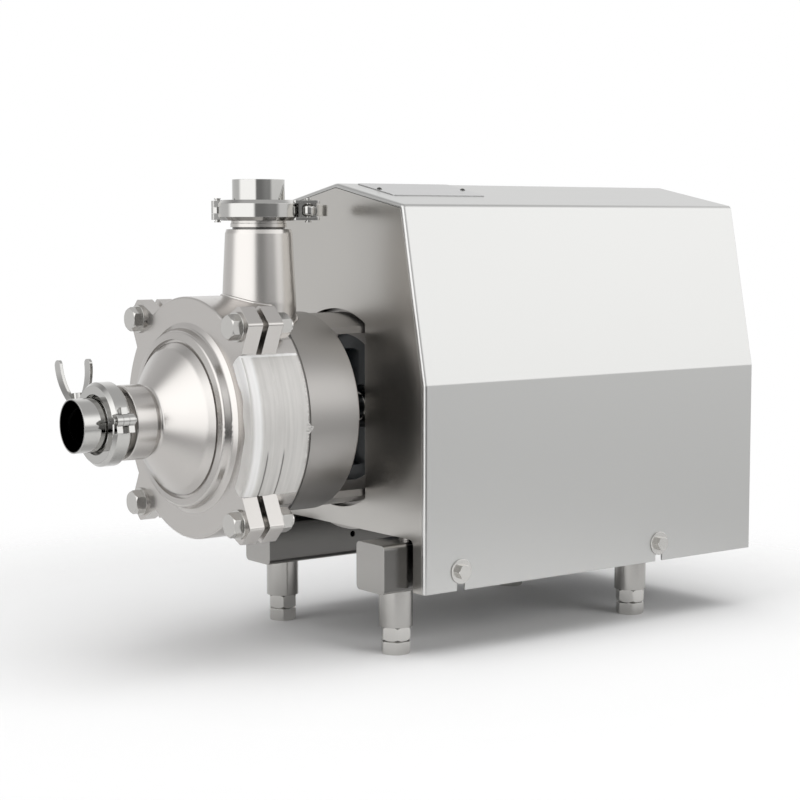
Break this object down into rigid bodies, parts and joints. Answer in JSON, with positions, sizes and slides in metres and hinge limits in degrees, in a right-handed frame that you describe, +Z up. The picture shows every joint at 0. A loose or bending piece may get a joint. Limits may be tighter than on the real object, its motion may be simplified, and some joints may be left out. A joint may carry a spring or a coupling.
{
  "type": "sanitary centrifugal pump",
  "caption": "Stainless close-coupled sanitary pump with clamped suction and discharge ports, a motor under a sheet hood, and a railed base on levelling feet.",
  "frame": {"origin": "middle of the footprint's box, on the floor under the feet", "axes": "+X from the suction port towards the motor, -Y the side with the nameplate, +Z up along the discharge port"},
  "size_m": [0.752, 0.309, 0.464],
  "materials": {
    "brushed_hood": "brushed along the length",
    "brushed_panel": "brushed upright",
    "brushed_frame": "brushed",
    "satin_casing": "satin, bead blasted",
    "cast_lantern": "cast and machined",
    "polished_steel": "polished stainless",
    "turned_steel": "turned",
    "bright_fastener": "bright stainless",
    "plate": "fine satin, bare",
    "motor_paint": "satin paint",
    "lamination": "varnished laminations",
    "seal_rubber": "smooth",
    "seal_carbide": "lapped",
    "gasket_white": "smooth",
    "black_plastic": "moulded"
  },
  "bodies": {
    "base": {"back_plate": "satin_casing", "bearing_outer_rings": "turned_steel", "cable_gland": "black_plastic", "casing": "satin_casing", "cover": "satin_casing", "cover_bolts": "bright_fastener", "cover_nuts": "bright_fastener", "cover_seal_ring": "seal_rubber", "cover_washers": "bright_fastener", "discharge_clamp_ear_half": "polished_steel", "discharge_clamp_fork_half": "polished_steel", "discharge_clamp_pins": "polished_steel", "discharge_stub": "polished_steel", "fan_cowl": "motor_paint", "flange_bolts": "bright_fastener", "foot_lock_nuts": "bright_fastener", "foot_sleeves": "brushed_frame", "front_panel": "brushed_panel", "front_shield": "motor_paint", "hood_bolts": "bright_fastener", "hood_bosses": "brushed_frame", "hood_washers": "bright_fastener", "lantern": "cast_lantern", "lantern_screws": "bright_fastener", "motor_bolts": "bright_fastener", "motor_housing": "motor_paint", "mounting_plates": "brushed_frame", "panel_screws": "bright_fastener", "port_gaskets": "gasket_white", "rear_shield": "motor_paint", "seal_seat": "seal_carbide", "side_rails": "brushed_frame", "stator": "lamination", "suction_clamp_ear_half": "polished_steel", "suction_clamp_fork_half": "polished_steel", "suction_clamp_pins": "polished_steel", "suction_stub": "polished_steel", "terminal_box": "motor_paint", "terminal_box_lid": "motor_paint"},
    "rotor": {"impeller": "satin_casing", "impeller_nut": "bright_fastener", "pump_shaft": "turned_steel", "seal_ring": "seal_carbide", "seal_bellows": "seal_rubber", "rotor_core": "lamination", "motor_shaft": "turned_steel", "bearing_inner_rings": "turned_steel", "fan": "black_plastic"},
    "hood": {"hood": "brushed_hood", "rear_panel": "brushed_hood", "nameplate": "plate", "nameplate_rivets": "bright_fastener"},
    "foot_front_near_body": {"foot_front_near": "bright_fastener"},
    "foot_front_far_body": {"foot_front_far": "bright_fastener"},
    "foot_rear_near_body": {"foot_rear_near": "bright_fastener"},
    "foot_rear_far_body": {"foot_rear_far": "bright_fastener"},
    "suction_swing_bolt": {"suction_clamp_swing_bolt": "polished_steel"},
    "suction_wing_nut": {"suction_clamp_wing_nut": "polished_steel"},
    "discharge_swing_bolt": {"discharge_clamp_swing_bolt": "polished_steel"},
    "discharge_wing_nut": {"discharge_clamp_wing_nut": "polished_steel"}
  },
  "joints": [
    {"name": "rotor_spin", "type": "hinge", "parent": "base", "child": "rotor", "pos_m": [-0.078, 0, 0.235], "axis": [1, 0, 0], "continuous": true},
    {"name": "hood_lift", "type": "slide", "parent": "base", "child": "hood", "axis": [0, 0, 1], "range_m": [0, 0.42]},
    {"name": "front_near_level", "type": "slide", "parent": "base", "child": "foot_front_near_body", "axis": [0, 0, -1], "range_m": [0, 0.02]},
    {"name": "front_far_level", "type": "slide", "parent": "base", "child": "foot_front_far_body", "axis": [0, 0, -1], "range_m": [0, 0.02]},
    {"name": "rear_near_level", "type": "slide", "parent": "base", "child": "foot_rear_near_body", "axis": [0, 0, -1], "range_m": [0, 0.02]},
    {"name": "rear_far_level", "type": "slide", "parent": "base", "child": "foot_rear_far_body", "axis": [0, 0, -1], "range_m": [0, 0.02]},
    {"name": "suction_bolt_swing", "type": "hinge", "parent": "base", "child": "suction_swing_bolt", "pos_m": [-0.3433, 0.04672, 0.22067], "axis": [-1, 0, 0], "range_deg": [0, 100]},
    {"name": "suction_nut_turn", "type": "hinge", "parent": "suction_swing_bolt", "child": "suction_wing_nut", "pos_m": [-0.3433, 0.05089, 0.2443], "axis": [0, 0.1736, 0.9848], "continuous": true},
    {"name": "discharge_bolt_swing", "type": "hinge", "parent": "base", "child": "discharge_swing_bolt", "pos_m": [-0.14138, -0.04398, 0.4343], "axis": [0, 0, -1], "range_deg": [0, 100]},
    {"name": "discharge_nut_turn", "type": "hinge", "parent": "discharge_swing_bolt", "child": "discharge_wing_nut", "pos_m": [-0.12693, -0.02481, 0.4343], "axis": [0.6018, 0.7986, 0], "continuous": true}
  ]
}
